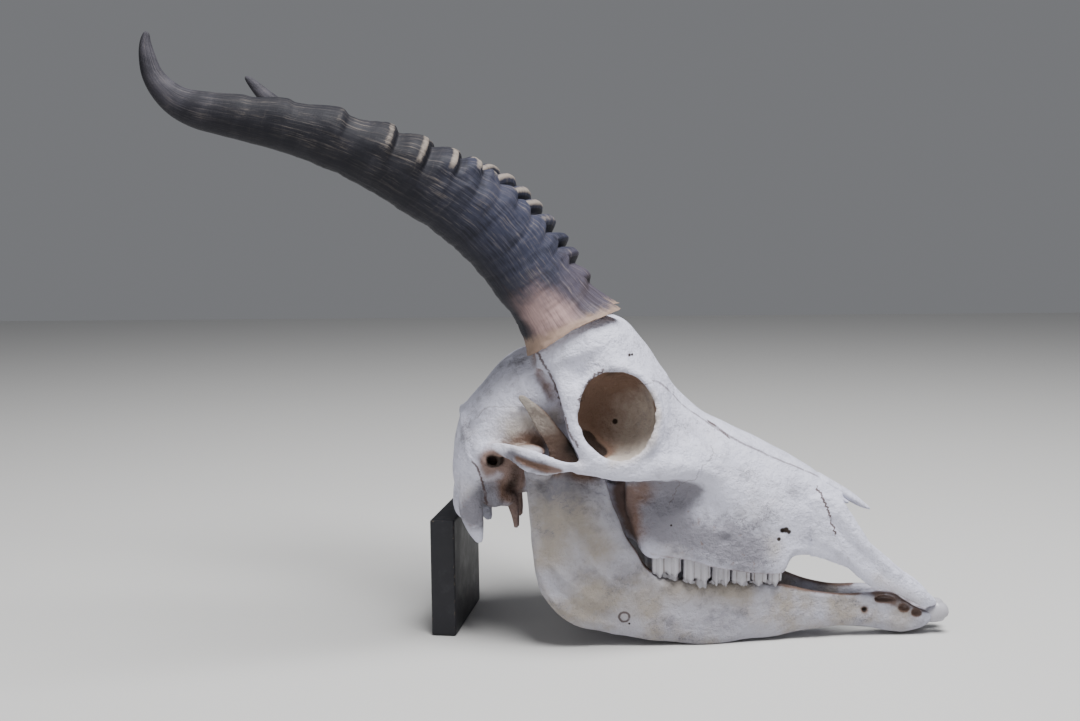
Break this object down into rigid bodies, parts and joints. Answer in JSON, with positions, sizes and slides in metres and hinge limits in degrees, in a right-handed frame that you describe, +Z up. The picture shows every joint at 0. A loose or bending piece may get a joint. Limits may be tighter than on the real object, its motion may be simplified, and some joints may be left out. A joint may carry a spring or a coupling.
{
  "type": "antelope skull with horns",
  "caption": "Horned skull of a medium antelope with its lower jaw and teeth, ridged S-curved horns, resting on the jaw and a small black wooden prop.",
  "frame": {"origin": "centre of the object's box, at the level of the table", "axes": "+X towards the muzzle, +Z up, the animal's left side is +Y"},
  "size_m": [0.4504, 0.1933, 0.3507],
  "materials": {
    "bone": "dry bleached bone, matt, with brown stains in its hollows",
    "tooth": "bluish white enamel with brown valleys",
    "horn": "slate grey horn, satin, straw-coloured on ridge crests and at the base",
    "painted_wood": "worn matt black paint"
  },
  "bodies": {
    "root": {"skull": "bone", "horn_right": "horn", "lower_jaw_right": "bone", "upper_right_premolar_2": "tooth", "upper_right_premolar_3": "tooth", "upper_right_premolar_4": "tooth", "upper_right_molar_1": "tooth", "upper_right_molar_2": "tooth", "upper_right_molar_3": "tooth", "lower_right_premolar_2": "tooth", "lower_right_premolar_3": "tooth", "lower_right_premolar_4": "tooth", "lower_right_molar_1": "tooth", "lower_right_molar_2": "tooth", "lower_right_molar_3": "tooth", "incisor_right": "tooth", "horn_left": "horn", "lower_jaw_left": "bone", "upper_left_premolar_2": "tooth", "upper_left_premolar_3": "tooth", "upper_left_premolar_4": "tooth", "upper_left_molar_1": "tooth", "upper_left_molar_2": "tooth", "upper_left_molar_3": "tooth", "lower_left_premolar_2": "tooth", "lower_left_premolar_3": "tooth", "lower_left_premolar_4": "tooth", "lower_left_molar_1": "tooth", "lower_left_molar_2": "tooth", "lower_left_molar_3": "tooth", "incisor_left": "tooth", "prop_block": "painted_wood"}
  },
  "joints": []
}
